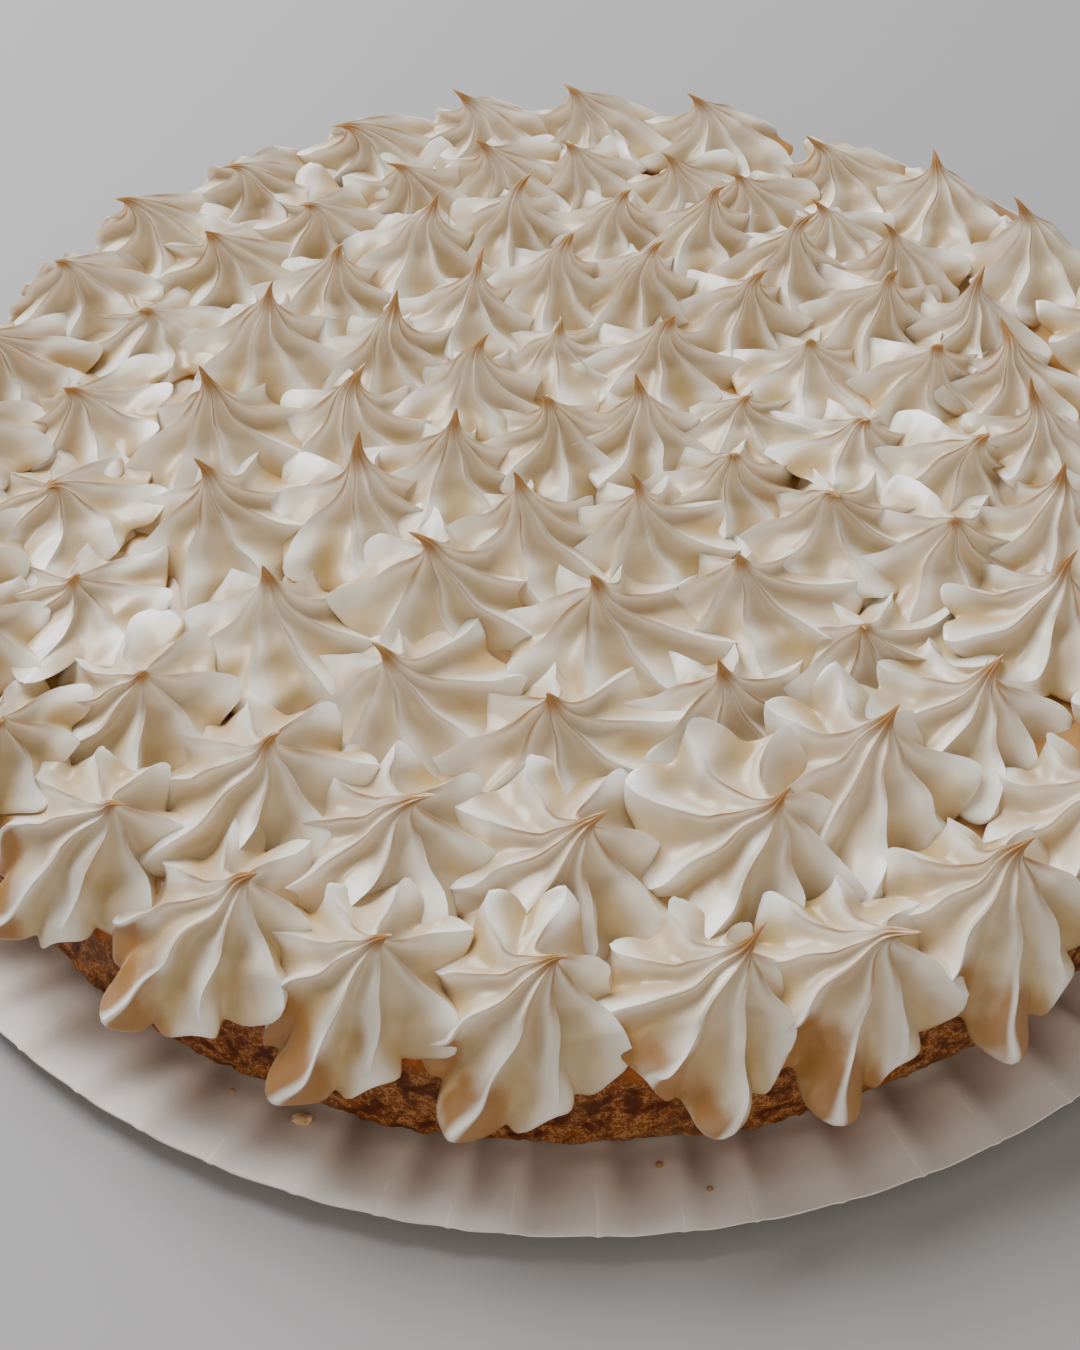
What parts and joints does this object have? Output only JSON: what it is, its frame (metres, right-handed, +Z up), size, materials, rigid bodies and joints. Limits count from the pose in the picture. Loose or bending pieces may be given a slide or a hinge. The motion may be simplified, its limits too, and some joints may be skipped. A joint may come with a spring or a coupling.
{
  "type": "lemon meringue pie",
  "caption": "Whole round lemon meringue pie: a low shortcrust shell covered with rings of toasted star-piped meringue kisses, in an opened fluted paper case.",
  "frame": {"origin": "middle of the paper case's flat underside", "axes": "+Z up, -Y towards the front shown in the picture, +X to the right"},
  "size_m": [0.309, 0.309, 0.049],
  "materials": {
    "meringue": "soft satin, browned on the tips and ridges",
    "crust": "baked, matte and flaky",
    "paper": "matte"
  },
  "bodies": {
    "root": {"meringue": "meringue", "crust": "crust", "paper_case": "paper"}
  },
  "joints": []
}
